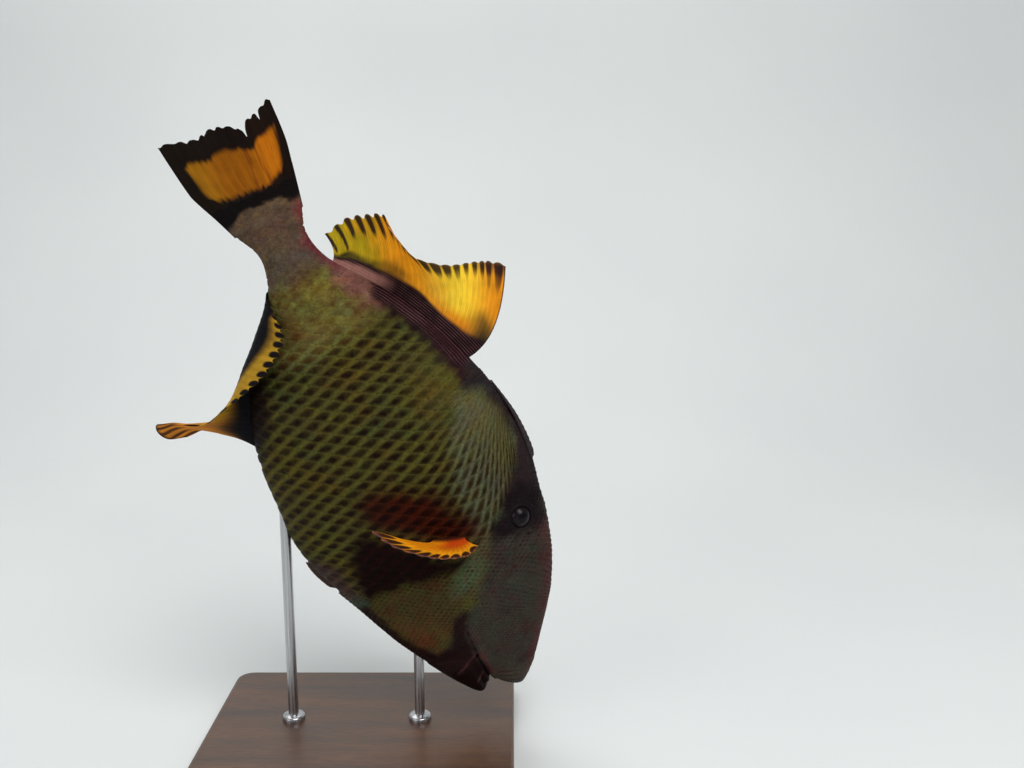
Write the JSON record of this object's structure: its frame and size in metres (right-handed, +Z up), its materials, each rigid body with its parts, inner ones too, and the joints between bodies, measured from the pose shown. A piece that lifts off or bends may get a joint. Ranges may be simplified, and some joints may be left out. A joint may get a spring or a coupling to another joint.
{
  "type": "titan triggerfish museum model",
  "caption": "Life-size titan triggerfish swimming nose down, with spread fins, held over a flat base by upright rods.",
  "frame": {"origin": "middle of the underside of the model's box, on the underside of the stand's base", "axes": "+Z up, along the model's longest side; +X towards the fish's back; -Y towards the viewer, where the fish's right side faces; Y is the shortest side"},
  "size_m": [0.3734, 0.2028, 0.6167],
  "materials": {
    "skin_head": "satin, small dotted scales",
    "skin_flank": "satin, dark-centred diamond scales with olive edges",
    "skin_tail": "satin, fine scales",
    "lips": "satin, wrinkled",
    "eyes": "glossy",
    "spines": "rough",
    "fins": "satin, orange with dark margins",
    "stand_wood": "oiled dark wood",
    "stand_metal": "brushed"
  },
  "bodies": {
    "root": {"head": "skin_head", "torso": "skin_flank", "tail_stem": "skin_tail", "upper_lip": "lips", "lower_jaw": "lips", "eye_left": "eyes", "eye_right": "eyes", "spiny_dorsal": "spines", "soft_dorsal_fin": "fins", "anal_fin": "fins", "caudal_fin": "fins", "pectoral_fin_left": "fins", "pectoral_fin_right": "fins", "pelvic_spine": "spines", "pelvic_flap": "skin_flank", "stand_base": "stand_wood", "stand_rod_front": "stand_metal", "stand_rod_back": "stand_metal"}
  },
  "joints": []
}
